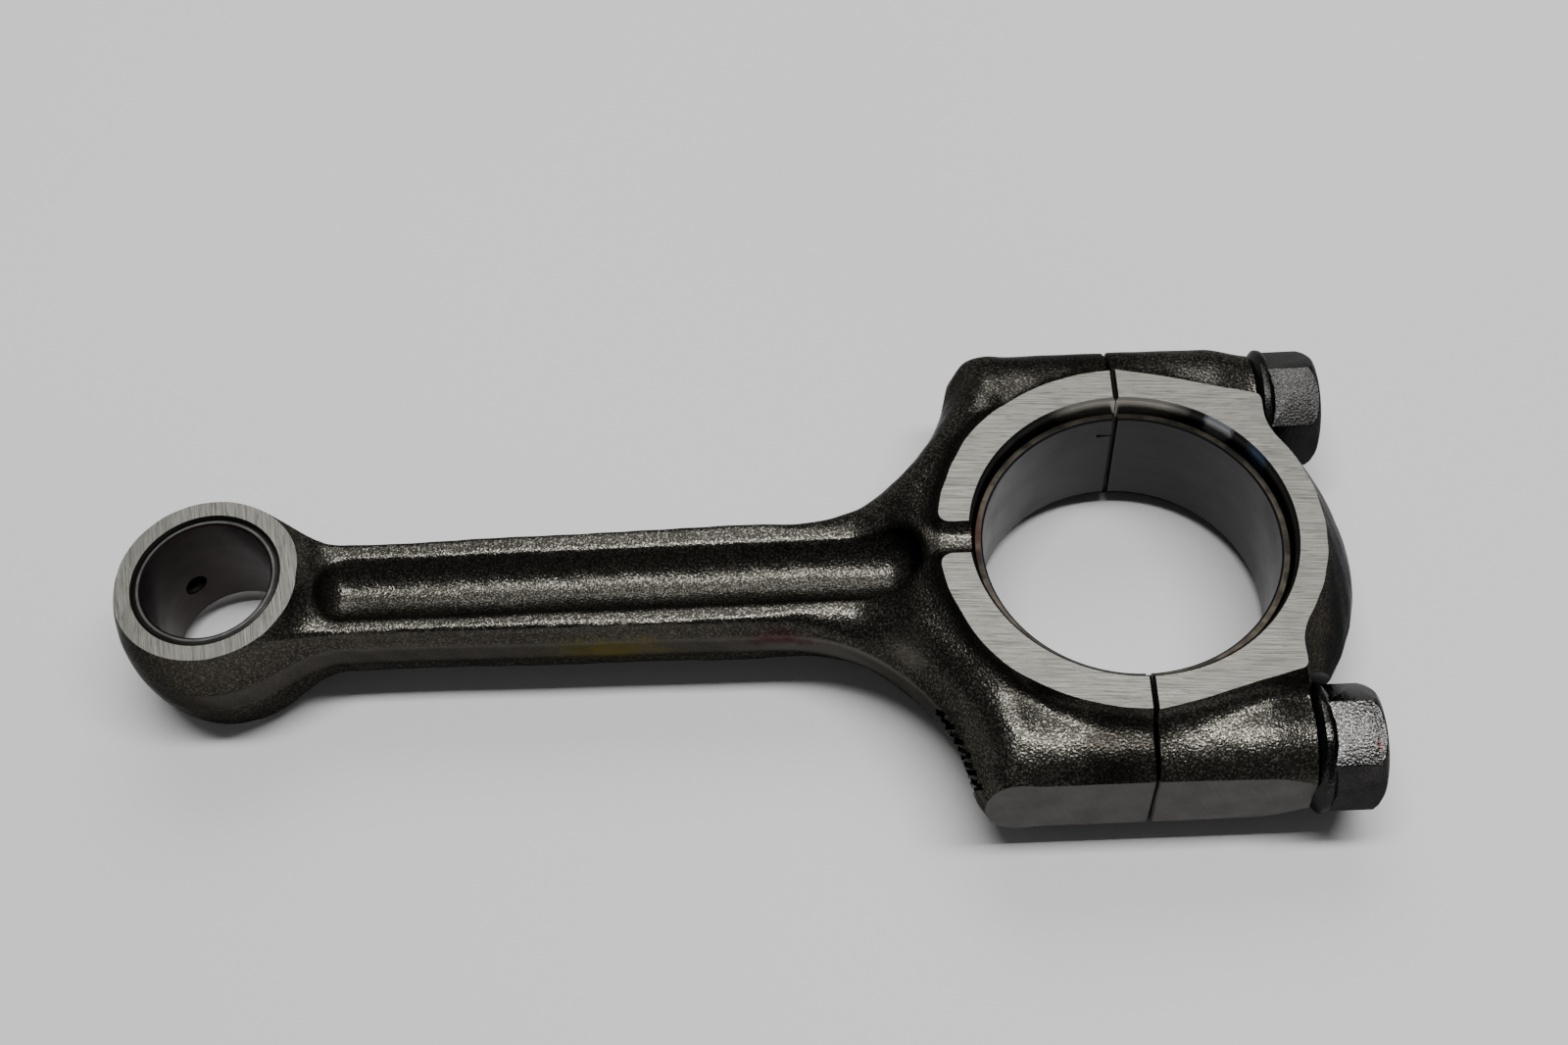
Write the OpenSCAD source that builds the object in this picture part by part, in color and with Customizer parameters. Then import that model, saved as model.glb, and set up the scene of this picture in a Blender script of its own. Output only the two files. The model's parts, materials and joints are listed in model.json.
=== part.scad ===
// Connecting rod of a small engine: forged rod and bolted bearing cap, a split pair
// of big-end bearing shells, a bushed small end and two cap bolts.
//
// Frame: origin at the centre of the crankpin bore, +X towards the cap, small end at
// -X, +Z along both bore axes. The forgings are symmetric about Z = 0, their parting
// plane, and their outline is symmetric about Y = 0. Units are millimetres.

/* [Main sizes] */
// Distance between the crankpin bore and the piston-pin bore
centre_distance = 120; // [100:1:150]
// Crankpin diameter that the big-end bearing runs on
crankpin_d = 38; // [36:0.5:42]
// Piston-pin diameter that the small-end bush runs on
piston_pin_d = 17; // [15:0.5:18]
// Width of the big end between its two ground faces
big_width = 22.8; // [20:0.2:24]
// Width of the small end between its two ground faces
small_width = 18; // [15:0.2:20]

/* [Big end] */
// Wall of a bearing shell: steel back and lining together
shell_wall = 1.5; // [1.2:0.1:2]
// Thickness of the soft lining on each bearing shell
shell_lining = 0.3; // [0.2:0.05:0.5]
// Width of the bearing shells along the bore
shell_width = 17.6; // [14:0.2:20]
// Radius of the rod's ground face
rod_face_r = 25.2; // [24:0.1:27]
// Radius of the cap's ground face
cap_face_r = 24.2; // [23.5:0.1:26]
// Radius of the cap's crown at the parting plane
cap_crown_r = 29.3; // [26:0.1:31]
// Width of the radial slot across the rod's ground face
face_slot_w = 4.5; // [3:0.1:6]
// Chamfer on the rim of each bore
bore_chamfer = 0.6; // [0.3:0.1:1]

/* [Cap bolts] */
// Distance from the bore axis to each bolt's axis
bolt_offset = 25.8; // [25.5:0.1:28]
// Nominal thread diameter of the bolts
bolt_d = 8; // [7:0.5:8]
// Width across the flats of the bolt's hexagon
hex_flats = 14; // [12:0.5:14]
// Diameter of the collar under the hexagon
collar_d = 16.4; // [14:0.2:17]
// How far the near bolt's hexagon is turned about its axis, in degrees
near_hex_turn = 42.5; // [0:0.5:60]
// How far the far bolt's hexagon is turned about its axis, in degrees
far_hex_turn = 52.5; // [0:0.5:60]
// Height of the whole bolt head
head_height = 8.9; // [7:0.1:11]
// Length of the bolt under its head
bolt_length = 35; // [30:0.5:38]
// Radius of the forged bosses around the bolts
boss_r = 8.8; // [8:0.1:9.5]
// Radius of the cap's bosses at the bolt seats
boss_end_r = 7.6; // [7:0.1:9]
// Distance from the rod's centre line to the flats on the bosses' sides
boss_half_width = 32.4; // [31:0.1:34]
// Height of the bolt seats above the joint
seat_height = 19.5; // [18:0.1:21]
// Diameter of the spot-face cutter for the bolt seats
spotface_d = 18.6; // [17.5:0.1:19]

/* [Shank] */
// Thickness of the shank's rails
shank_thickness = 10.8; // [10:0.1:14]
// Half the shank's width near the small end
shank_half_w = 6.8; // [6:0.1:8]
// Radius of the flare from the shank to the bolt shoulders
flare_r = 25.5; // [20:0.5:30]
// Thickness of the web between the rails
web_thickness = 4.4; // [3:0.1:6]
// Half the width of the recess between the rails
recess_half_w = 4.5; // [3.5:0.1:5]
// Distance from the piston-pin bore's axis to the recess
eye_to_recess = 13; // [12.5:0.1:16]
// Distance from the crankpin bore's axis to the recess
crankpin_to_recess = 27; // [26.5:0.1:32]

/* [Small end] */
// Outer radius of the small end's ground faces
eye_face_r = 12; // [11.5:0.1:13]
// Outer radius of the small end at the parting plane
eye_r = 13.4; // [12.5:0.1:14.5]
// Wall of the small-end bush: steel back and bronze lining together
bush_wall = 1; // [0.8:0.1:1.5]
// Thickness of the bush's bronze lining
bush_lining = 0.3; // [0.2:0.05:0.5]
// Diameter of the oil hole into the small end
oil_hole_d = 3.2; // [1.5:0.1:4]

/* [Hidden] */
$fn = 96;
eps = 0.01;
shell_outer_r = crankpin_d / 2 + shell_wall;
shell_lining_r = crankpin_d / 2 + shell_lining;
bush_outer_r = piston_pin_d / 2 + bush_wall;
bush_lining_r = piston_pin_d / 2 + bush_lining;
bush_width = small_width - 0.4;
half_big = big_width / 2;
// the shoulders on the shank's side of the bolts' blind holes
shoulder_x = -19.5;
shoulder_corner_r = 3;
shoulder_corner_x = shoulder_x + 1.6;
// the shank is a little wider where the flare starts
shank_taper = 0.4;
flare_centre_x = shoulder_x - 1.7 - flare_r;
flare_end_angle = 348;
// the fillet that leads the shank into the small end, tangent to both
eye_fillet_r = 14;
eye_mean_r = (eye_r + eye_face_r) / 2;
eye_fillet_x = sqrt(pow(eye_mean_r + eye_fillet_r, 2)
                    - pow(shank_half_w + eye_fillet_r, 2));
eye_fillet_angle = atan2(shank_half_w + eye_fillet_r, eye_fillet_x);
// running clearance of the bolts in their holes, on the radius
bolt_clearance = 0.06;
bolt_hole_depth = bolt_length - seat_height + 1;
// the V-groove that the two chamfered joint edges make
joint_chamfer = 0.35;
// the flash line leaves the forging a little fuller at the parting plane
draft = 1.1;
// where the oil hole comes through: its direction from the eye, and its height
oil_hole_angle = 131.5;
oil_hole_z = -2.8;
tang_length = 4.6;
tang_low_z = 4.4;
tang_high_z = 8;
tang_out = 1;
// how deep the tang's root reaches into the shell's back
tang_root = 0.5;
tang_notch_gap = 0.2;
face_slot_depth = 1.2;
// how the crown falls away from the parting plane: 1 is a straight slope, 2 a curve
crown_power = 1.25;
// parts of the bolt's head, from the seat up
collar_slope = 1;
collar_rim = 1.4;
hex_chamfer = 1;
bolt_tip = 1;
steel_forged = [0.25, 0.24, 0.22];
steel_dark = [0.2, 0.2, 0.21];
steel_grey = [0.5, 0.5, 0.5];
lining_grey = [0.42, 0.42, 0.44];
bronze = [0.33, 0.22, 0.17];

// points on an arc about [cx, cy], from angle a0 to angle a1
function arc(cx, cy, r, a0, a1, steps = 12) =
    [for (i = [0 : steps]) let (a = a0 + (a1 - a0) * i / steps)
        [cx + r * cos(a), cy + r * sin(a)]];

// half of the rod's outline above the centre line, from the eye to the joint
function rod_half_outline() = concat(
    [[-centre_distance, shank_half_w / 2]],
    arc(-centre_distance + eye_fillet_x, shank_half_w + eye_fillet_r, eye_fillet_r,
        180 + eye_fillet_angle, 270, 6),
    arc(flare_centre_x, shank_half_w + shank_taper + flare_r, flare_r,
        270, flare_end_angle, 14),
    arc(shoulder_corner_x, boss_half_width - shoulder_corner_r,
        shoulder_corner_r, 170, 90, 6),
    [[0, boss_half_width]]);

// the same points below the centre line, in the opposite order
function flipped(points) =
    [for (i = [len(points) - 1 : -1 : 0]) [points[i][0], -points[i][1]]];

// a cylinder that is fuller at the parting plane than at its two ends
module drafted_disc(mid_r, end_r, width) {
    cylinder(h = width / 2, r1 = mid_r, r2 = end_r);
    mirror([0, 0, 1]) cylinder(h = width / 2, r1 = mid_r, r2 = end_r);
}

// a straight hole along Z with a chamfer at each end
module chamfered_bore(r, width, chamfer) {
    cylinder(h = width + 2, r = r, center = true);
    for (side = [0, 1]) mirror([0, 0, side])
        translate([0, 0, width / 2 - chamfer])
            cylinder(h = chamfer + eps, r1 = r, r2 = r + chamfer + eps);
}

// a ring cut by the joint plane: side is -1 for the rod's half, +1 for the cap's
module half_ring(outer_r, inner_r, width, side) {
    intersection() {
        difference() {
            cylinder(h = width, r = outer_r, center = true);
            cylinder(h = width + 2, r = inner_r, center = true);
        }
        translate([side * outer_r, 0, 0])
            cube([2 * outer_r, 3 * outer_r, width + 1], center = true);
    }
}

// the locating tang of a shell, side as in half_ring, hand is the Y side it is on
module tang(side, hand, grow = 0) {
    reach = tang_length + grow;
    depth = tang_root + tang_out + grow;
    low_y = hand > 0 ? shell_outer_r - tang_root : tang_root - shell_outer_r - depth;
    translate([side > 0 ? 0 : -reach, low_y, tang_low_z - grow])
        cube([reach, depth, tang_high_z - tang_low_z + 2 * grow]);
}

// a bar along +X from x0 to x1 about the bolt's axis, with its own end radii
module along_bolt(x0, x1, r0, r1) {
    translate([x0, 0, 0]) rotate([0, 90, 0]) cylinder(h = x1 - x0, r1 = r0, r2 = r1);
}

// the two bolt bosses from x0 to x1, trimmed by the flats on their outer sides
module bosses(x0, x1, r0, r1) {
    for (hand = [-1, 1]) intersection() {
        translate([0, hand * bolt_offset, 0]) along_bolt(x0, x1, r0, r1);
        translate([(x0 + x1) / 2, 0, 0])
            cube([x1 - x0 + 1, 2 * boss_half_width, big_width], center = true);
    }
}

// the groove that the chamfered edges of the joint leave round the outside
module joint_chamfers() {
    for (hand = [-1, 1], face = [-1, 1])
        translate([0, hand * bolt_offset, face * half_big]) rotate([0, 45, 0])
            cube([joint_chamfer * sqrt(2), 3 * boss_r, joint_chamfer * sqrt(2)],
                 center = true);
    for (hand = [-1, 1])
        translate([0, hand * boss_half_width, 0]) rotate([0, 0, 45])
            cube([joint_chamfer * sqrt(2), joint_chamfer * sqrt(2), big_width + 2],
                 center = true);
}

// the recess between the shank's rails, on one face
module shank_recess() {
    left = -centre_distance + eye_to_recess + recess_half_w;
    right = -crankpin_to_recess - recess_half_w;
    translate([0, 0, web_thickness / 2]) linear_extrude(half_big) {
        translate([left, 0]) circle(recess_half_w);
        translate([right, 0]) circle(recess_half_w);
        translate([left, -recess_half_w]) square([right - left, 2 * recess_half_w]);
    }
}

// the small end's oil hole, from the outside into the bore
module oil_hole() {
    translate([-centre_distance, 0, oil_hole_z]) rotate([0, 0, oil_hole_angle])
        rotate([0, 90, 0]) cylinder(h = eye_r + 2, d = oil_hole_d);
}

module rod_forging() color(steel_forged) difference() {
    union() {
        linear_extrude(shank_thickness, center = true)
            polygon(concat(rod_half_outline(), flipped(rod_half_outline())));
        translate([-centre_distance, 0, 0])
            drafted_disc(eye_r, eye_face_r, small_width);
        intersection() {
            drafted_disc(rod_face_r + draft, rod_face_r, big_width);
            translate([-cap_crown_r, 0, 0])
                cube([2 * cap_crown_r, 4 * cap_crown_r, big_width], center = true);
        }
        bosses(shoulder_x, 0, boss_r - draft / 2, boss_r);
    }
    for (side = [0, 1]) mirror([0, 0, side]) {
        shank_recess();
        translate([-rod_face_r - 2, -face_slot_w / 2, half_big - face_slot_depth])
            cube([rod_face_r - shell_outer_r + 4, face_slot_w, half_big]);
    }
    chamfered_bore(shell_outer_r, big_width, bore_chamfer);
    translate([-centre_distance, 0, 0])
        chamfered_bore(bush_outer_r, small_width, bore_chamfer / 2);
    oil_hole();
    for (hand = [-1, 1]) translate([0, hand * bolt_offset, 0])
        along_bolt(-bolt_hole_depth, eps, bolt_d / 2 + bolt_clearance,
                   bolt_d / 2 + bolt_clearance);
    tang(-1, 1, tang_notch_gap);
    joint_chamfers();
}

// the cap's crown, a barrel that is fullest at the parting plane
module crown_barrel() {
    profile = [for (i = [-6 : 6]) let (t = i / 6)
        [cap_crown_r - (cap_crown_r - cap_face_r) * pow(abs(t), crown_power), t * half_big]];
    rotate_extrude() polygon(concat([[0, -half_big]], profile, [[0, half_big]]));
}

// the flat lobes that join the cap's ground faces to the bolt seats
module face_lobes() {
    lobe = [[0, boss_r], [0, cap_face_r], [6.5, cap_face_r - 0.4], [16.2, 21.2],
            [seat_height - 1.2, 20.5], [seat_height, 18.2], [seat_height, 12]];
    linear_extrude(big_width, center = true) {
        polygon(lobe);
        polygon(flipped(lobe));
    }
}

module bearing_cap() color(steel_forged) difference() {
    union() {
        intersection() {
            crown_barrel();
            translate([cap_crown_r, 0, 0])
                cube([2 * cap_crown_r, 4 * cap_crown_r, big_width], center = true);
        }
        face_lobes();
        bosses(0, seat_height, boss_r, boss_end_r);
    }
    for (hand = [-1, 1]) translate([0, hand * bolt_offset, 0]) {
        along_bolt(-eps, seat_height + 1, bolt_d / 2 + bolt_clearance,
                   bolt_d / 2 + bolt_clearance);
        along_bolt(seat_height, cap_crown_r + 5, spotface_d / 2, spotface_d / 2);
    }
    chamfered_bore(shell_outer_r, big_width, bore_chamfer);
    tang(1, -1, tang_notch_gap);
    joint_chamfers();
}

// the steel back of a shell, with the tang that stops it turning in its half
module shell_back(side, hand) color(steel_grey) difference() {
    union() {
        half_ring(shell_outer_r, shell_lining_r, shell_width, side);
        tang(side, hand);
    }
    cylinder(h = shell_width + 2, r = shell_lining_r, center = true);
}

module shell_layer(side) color(lining_grey)
    half_ring(shell_lining_r, crankpin_d / 2, shell_width, side);

module rod_shell_back() shell_back(-1, 1);

module rod_shell_lining() shell_layer(-1);

module cap_shell_back() shell_back(1, -1);

module cap_shell_lining() shell_layer(1);

// one layer of the wrapped bush, between two radii, with the oil hole through it
module bush_layer(outer_r, inner_r) difference() {
    translate([-centre_distance, 0, 0]) difference() {
        cylinder(h = bush_width, r = outer_r, center = true);
        cylinder(h = bush_width + 2, r = inner_r, center = true);
    }
    oil_hole();
}

module small_end_bush_back() color(steel_dark) bush_layer(bush_outer_r, bush_lining_r);

module small_end_bush_lining() color(bronze) bush_layer(bush_lining_r, piston_pin_d / 2);

// a cap bolt: hexagon, collar with a conical underside, and threaded shank
module cap_bolt(hand, turn) color(steel_dark) translate([0, hand * bolt_offset, 0]) {
    collar_r = collar_d / 2;
    rim_x = seat_height + collar_slope;
    hex_x = rim_x + collar_rim;
    end_x = seat_height + head_height;
    tip_x = seat_height - bolt_length;
    along_bolt(seat_height, rim_x, collar_r - 1.2, collar_r);
    along_bolt(rim_x, hex_x, collar_r, collar_r);
    intersection() {
        translate([rim_x, 0, 0]) rotate([0, 90, 0]) rotate([0, 0, turn])
            cylinder(h = end_x - rim_x, d = hex_flats / cos(30), $fn = 6);
        union() {
            along_bolt(rim_x, end_x - hex_chamfer, collar_r, collar_r);
            along_bolt(end_x - hex_chamfer, end_x, collar_r, hex_flats / 2 - 0.4);
        }
    }
    along_bolt(tip_x + bolt_tip, seat_height + eps, bolt_d / 2, bolt_d / 2);
    along_bolt(tip_x, tip_x + bolt_tip, bolt_d / 2 - bolt_tip, bolt_d / 2);
}

module far_cap_bolt() cap_bolt(1, far_hex_turn);

module near_cap_bolt() cap_bolt(-1, near_hex_turn);

rod_forging();
bearing_cap();
rod_shell_back();
rod_shell_lining();
cap_shell_back();
cap_shell_lining();
small_end_bush_back();
small_end_bush_lining();
far_cap_bolt();
near_cap_bolt();
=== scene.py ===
"""Looks of the connecting rod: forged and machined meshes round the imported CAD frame.

Shapes are worked out in millimetres in the CAD frame and written to meshes in metres.
The two forgings start as smooth blanks, taken from a distance field, and are then
machined with boolean cutters, so that ground faces and bores keep crisp edges.
"""

import json
import math

import bmesh
import bpy
import numpy as np
from mathutils import Matrix, Vector


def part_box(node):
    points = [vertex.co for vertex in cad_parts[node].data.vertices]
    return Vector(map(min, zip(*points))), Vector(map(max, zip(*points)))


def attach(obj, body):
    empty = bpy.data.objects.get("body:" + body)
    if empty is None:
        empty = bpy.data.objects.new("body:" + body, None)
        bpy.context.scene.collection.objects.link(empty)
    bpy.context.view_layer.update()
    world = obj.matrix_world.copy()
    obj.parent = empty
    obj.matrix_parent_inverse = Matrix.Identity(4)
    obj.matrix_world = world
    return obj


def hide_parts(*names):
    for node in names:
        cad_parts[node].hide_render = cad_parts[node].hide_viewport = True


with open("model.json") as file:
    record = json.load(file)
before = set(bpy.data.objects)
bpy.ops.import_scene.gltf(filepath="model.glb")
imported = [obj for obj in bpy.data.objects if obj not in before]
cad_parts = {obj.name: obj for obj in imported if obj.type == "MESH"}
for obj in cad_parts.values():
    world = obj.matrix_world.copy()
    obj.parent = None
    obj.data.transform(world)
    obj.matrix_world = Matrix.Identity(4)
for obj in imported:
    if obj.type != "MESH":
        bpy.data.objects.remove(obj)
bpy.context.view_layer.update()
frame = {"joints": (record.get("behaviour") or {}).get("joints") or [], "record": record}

MM = 0.001

# ---------------------------------------------------------------- sizes from the frame


def node_box(name):
    """Lowest and highest corner of a CAD node, in millimetres."""
    low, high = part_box(name)
    return np.array(low) / MM, np.array(high) / MM


# The bush stops this far short of the small end's faces.
BUSH_INSET = 0.2

MOUNTS = {m["name"]: m for m in frame["record"]["mounts"]}
JOINTS = {j["name"]: j for j in frame["joints"]}
CAP_LOW, CAP_HIGH = node_box("bearing_cap")
EYE_X = MOUNTS["piston_pin_bore"]["pos_m"][0] / MM
CRANK_R = MOUNTS["crankpin_bore"]["dims"]["r_mm"]
PIN_R = MOUNTS["piston_pin_bore"]["dims"]["r_mm"]
BIG_HALF = CAP_HIGH[2]
HOUSING_R = node_box("cap_shell_back")[1][0]
SHELL_HALF = node_box("cap_shell_back")[1][2]
LINING_R = node_box("cap_shell_lining")[1][0]
BUSH_R = node_box("small_end_bush_back")[1][1]
BUSH_HALF = node_box("small_end_bush_back")[1][2]
BUSH_LINING_R = node_box("small_end_bush_lining")[1][1]
EYE_HALF = BUSH_HALF + BUSH_INSET
BOSS_HALF_WIDTH = CAP_HIGH[1]
BOLT_Y = JOINTS["far_bolt_turn"]["pos_m"][1] / MM
SEAT_X = JOINTS["far_bolt_turn"]["pos_m"][0] / MM
BOLT_LOW, BOLT_HIGH = node_box("far_cap_bolt")
COLLAR_R = BOLT_HIGH[2]
CROWN_R = CAP_HIGH[0]

# ---------------------------------------------------------------- sizes of the forgings

# The ring round the big end, at its faces
ROD_FACE_R = 25.2
CAP_FACE_R = 24.2

# The small end, at its faces and half way between them
EYE_FACE_R = 12.0
EYE_MID_R = 13.5

# The shank, its rise into the neck, and the band where its flash was trimmed off
SHANK_HALF_W = 6.85
SHANK_HALF_T = 5.4
NECK_RISE = 4.6
FLASH_HALF = 1.9

# The troughs in the shank's upper and lower side, over the web between them
WEB_HALF_T = 2.2
RECESS_R = 4.8
RECESS_AXIS_Z = WEB_HALF_T + RECESS_R
RECESS_Y = -0.35
RECESS_LEFT = -107.7
RECESS_RIGHT = -26.9

# The flare from the shank to the shoulders, and the bolt bosses
FLARE_R = 25.5
FLARE_X = -21.2
BOSS_R = 8.8
SHOULDER_X = -19.6
SPOTFACE_R = 9.3

# The slot across the ring, where the shank meets it
SLOT_R = 2.6
SLOT_AXIS_Z = BIG_HALF + 1.1
SLOT_Y = 0.15

# The joint, the bores and the bolt holes
JOINT_GAP = 0.06
JOINT_CHAMFER = 0.36
BORE_CHAMFER = 0.35
BOLT_HOLE_R = 4.06
BOLT_HOLE_DEPTH = 15.8
BOLT_TIP_X = BOLT_LOW[0]

# The shells: tangs, the notches they sit in, the pockets pressed behind them, and rims
TANG_LENGTH = 4.6
TANG_Z = (4.4, 8.0)
NOTCH_GAP = 0.2
POCKET_LENGTH = 2.3
POCKET_DEPTH = 0.08
SHELL_EDGE = 0.55
SHELL_SLACK_DEG = 1.0
LINING_CHAMFER = 0.22

# The bush, and the oil hole that is drilled through it
BUSH_BEVEL = 0.42
BRONZE_CHAMFER = 0.18
OIL_HOLE_ANGLE = math.radians(131.5)
OIL_HOLE_R = 1.6
OIL_HOLE_Z = -2.8

# The bolts
HEX_FLATS = 14.0
COLLAR_HEIGHT = 2.4
THREAD_PITCH = 1.0
THREAD_DEPTH = 0.55

# The strokes stamped on the flare, from one angle round its arc to another
STROKES = 11
STROKES_FROM_DEG = -32
STROKES_SWEEP_DEG = 25

# Cutters run out to these distances, well past the forgings.
CUT_XY = 60
CUT_Z = 30

# The forgings are sampled within these bounds, more finely round the joint plane.
GRID_Y = 36
GRID_Z = 12.9
GRID_STEP = 0.42
FINE_X = 1.0
FINE_STEP = 0.1

# Sides of the turned pieces
SEGMENTS = 160
BORE_SEGMENTS = 200
BOLT_SEGMENTS = 144
BUSH_SEGMENTS = 144
SHELL_SEGMENTS = 110
SHANK_SEGMENTS = 48
SHANK_RINGS_PER_MM = 8

# ---------------------------------------------------------------- distance fields


def smooth_min(a, b, k):
    """The lower of two fields, blended over a width k."""
    h = np.clip(0.5 + 0.5 * (b - a) / k, 0, 1)
    return b + (a - b) * h - k * h * (1 - h)


def smooth_max(a, b, k):
    """The higher of two fields, blended over a width k."""
    return -smooth_min(-a, -b, k)


def ease(t):
    """0 to 1 with flat ends."""
    t = np.clip(t, 0, 1)
    return t * t * (3 - 2 * t)


def unevenness(x, y, z):
    """Slow waves, a few hundredths of a millimetre high, that a forging die leaves."""
    waves = np.sin(0.71 * x + 1.3 * y) * np.sin(0.93 * z + 0.4 * x)
    return 0.035 * waves + 0.03 * np.sin(0.23 * x - 0.37 * y + 0.6)


def flare_outline(x, y):
    """Distance to the shank's side and the flare that leads it to the shoulder."""
    side = SHANK_HALF_W + 0.013 * np.clip(x + 97, 0, 45)
    across = np.maximum(side + FLARE_R - y, 0)
    along = np.maximum(x - (FLARE_X - FLARE_R), 0)
    return FLARE_R - np.hypot(along, across)


def flank(height):
    """How far the shank's side stands out below its top edge: draft, then the flat
    band that is left where the forging's flash was trimmed off."""
    drafted = 0.45 * (1 - np.clip((height - FLASH_HALF) / 3.4, 0, 1))
    return drafted + 0.16 * ease((FLASH_HALF + 0.3 - height) / 0.5)


def joint_bevel(x):
    """How far the skin draws in towards the joint plane."""
    return np.maximum(JOINT_CHAMFER - np.abs(x), 0)


def recess(x, y, z):
    """The U-shaped trough between the shank's rails, on both faces."""
    middle = (RECESS_LEFT + RECESS_RIGHT) / 2
    straight = (RECESS_RIGHT - RECESS_LEFT) / 2 - RECESS_R
    plan = np.hypot(np.maximum(np.abs(x - middle) - straight, 0), y - RECESS_Y)
    return np.hypot(plan, np.maximum(RECESS_AXIS_Z - np.abs(z), 0)) - RECESS_R


def rod_field(x, y, z):
    """The rod forging before machining: negative inside."""
    side_y, height = np.abs(y), np.abs(z)
    from_pin = np.hypot(x, y)
    # The shank, which thickens into the neck, and the troughs between its rails
    neck = SHANK_HALF_T + NECK_RISE * ease((37.0 - from_pin) / 11.0)
    side = flare_outline(x, side_y) - flank(height)
    plate = smooth_max(side, height - neck, 0.9 + 3.8 * ease((x + 50) / 18))
    plate = smooth_max(plate, EYE_X + 2 - x, 1.0)
    plate = smooth_max(plate, np.maximum(x + 16, side_y - BOSS_HALF_WIDTH - 0.1), 3.0)
    plate = smooth_max(plate, -recess(x, y, z), 0.8)
    # The barrelled small end
    eye_r = EYE_MID_R - (EYE_MID_R - EYE_FACE_R) * (height / EYE_HALF) ** 2
    eye = np.hypot(x - EYE_X, y) - eye_r
    body = smooth_min(plate, eye, 5.0)
    # The ring round the big end, drawn in a little where the shank meets it
    drawn_in = 0.5 * ease((-x / np.maximum(from_pin, 1) - 0.75) / 0.2)
    ring_r = ROD_FACE_R - drawn_in + 1.5 * (1 - (height / BIG_HALF) ** 2)
    body = smooth_min(body, from_pin - ring_r, 2.6)
    # The bolt bosses and the slot across the ring
    boss = np.hypot(side_y - BOLT_Y, z) - BOSS_R
    boss = smooth_max(boss, SHOULDER_X - x + 0.05 * height, 3.5)
    body = smooth_min(body, boss, 2.6)
    slot = np.hypot(y - SLOT_Y, np.maximum(SLOT_AXIS_Z - height, 0)) - SLOT_R
    slot = smooth_max(slot, x + 14, 1.0)
    body = smooth_max(body, -slot, 1.8)
    return np.maximum(body + unevenness(x, y, z) + joint_bevel(x), x - 1)


def cap_field(x, y, z):
    """The cap forging before machining: negative inside."""
    side_y, height = np.abs(y), np.abs(z)
    # The crown and the lobes that lead it to the bolt seats
    crown_r = CROWN_R - (CROWN_R - CAP_FACE_R) * (height / BIG_HALF) ** 1.25
    crown = (np.hypot(x, y) - crown_r) * 0.92
    lobe = 0.259 * x + 0.966 * side_y - 24.6 + 0.25 * (height - BIG_HALF)
    lobe = smooth_max(lobe, x - SEAT_X + 0.5 + 0.2 * (height - BIG_HALF), 0.8)
    body = smooth_min(crown, lobe, 1.5)
    # The bolt bosses, which narrow towards the seats
    taper = 0.3 * np.clip(x / SEAT_X, 0, 1.2) + 1.1 * ease((x - SEAT_X + 6) / 7)
    boss = np.hypot(side_y - BOLT_Y, z) - BOSS_R + taper
    boss = smooth_max(boss, x - SEAT_X - 1.5, 0.5)
    body = smooth_min(body, boss, 2.4)
    return np.maximum(body + unevenness(x + 40, y, z) + joint_bevel(x), -x - 1)


def surface_mesh(name, field, axes):
    """A closed mesh where a sampled field crosses 0, by the surface-nets method."""
    for axis in range(3):
        for end in (0, -1):
            layer = np.moveaxis(field, axis, 0)[end]
            layer[...] = np.maximum(layer, 0.3)
    shape = np.array(field.shape) - 1
    corners = [(i, j, k) for i in (0, 1) for j in (0, 1) for k in (0, 1)]
    inside = field < 0
    count = np.zeros(shape, np.int8)
    for i, j, k in corners:
        count += inside[i : i + shape[0], j : j + shape[1], k : k + shape[2]]
    cells = np.argwhere((count > 0) & (count < 8))
    number = np.full(shape, -1, np.int32)
    number[tuple(cells.T)] = np.arange(len(cells))
    total, hits = np.zeros((len(cells), 3)), np.zeros(len(cells))
    for corner in corners:
        for axis in range(3):
            if corner[axis]:
                continue
            other = np.array(corner)
            other[axis] = 1
            first = field[tuple((cells + corner).T)]
            last = field[tuple((cells + other).T)]
            crossed = (first < 0) != (last < 0)
            share = np.where(crossed, first / np.where(crossed, first - last, 1), 0)
            point = np.tile(np.array(corner, float), (len(cells), 1))
            point[:, axis] = share
            total += point * crossed[:, None]
            hits += crossed
    spots = cells + total / hits[:, None]
    steps = [np.arange(len(a)) for a in axes]
    points = np.stack([np.interp(spots[:, i], steps[i], axes[i]) for i in range(3)], 1)
    faces = []
    for axis in range(3):
        u, v = (axis + 1) % 3, (axis + 2) % 3
        first = np.take(inside, np.arange(shape[axis]), axis)
        last = np.take(inside, np.arange(1, shape[axis] + 1), axis)
        edges = np.argwhere(first != last)
        outward = first[tuple(edges.T)]
        back_u, back_v = np.eye(3, dtype=int)[u], np.eye(3, dtype=int)[v]
        ring = [edges, edges - back_u, edges - back_u - back_v, edges - back_v]
        quads = np.stack([number[tuple(r.T)] for r in ring], 1)
        quads[~outward] = quads[~outward][:, ::-1]
        faces += quads.tolist()
    return new_piece(name, points, faces)


def grid(low_x, high_x):
    """Sample places on each axis, closer together in x round the joint plane."""
    bounds = ((low_x, high_x), (-GRID_Y, GRID_Y), (-GRID_Z, GRID_Z))
    axes = [np.arange(low, high + GRID_STEP, GRID_STEP) for low, high in bounds]
    near = np.arange(-FINE_X, FINE_X + FINE_STEP / 2, FINE_STEP)
    far = axes[0][np.abs(axes[0]) > FINE_X + FINE_STEP]
    axes[0] = np.sort(np.concatenate([far, near]))
    return axes


# ---------------------------------------------------------------- meshes


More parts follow.
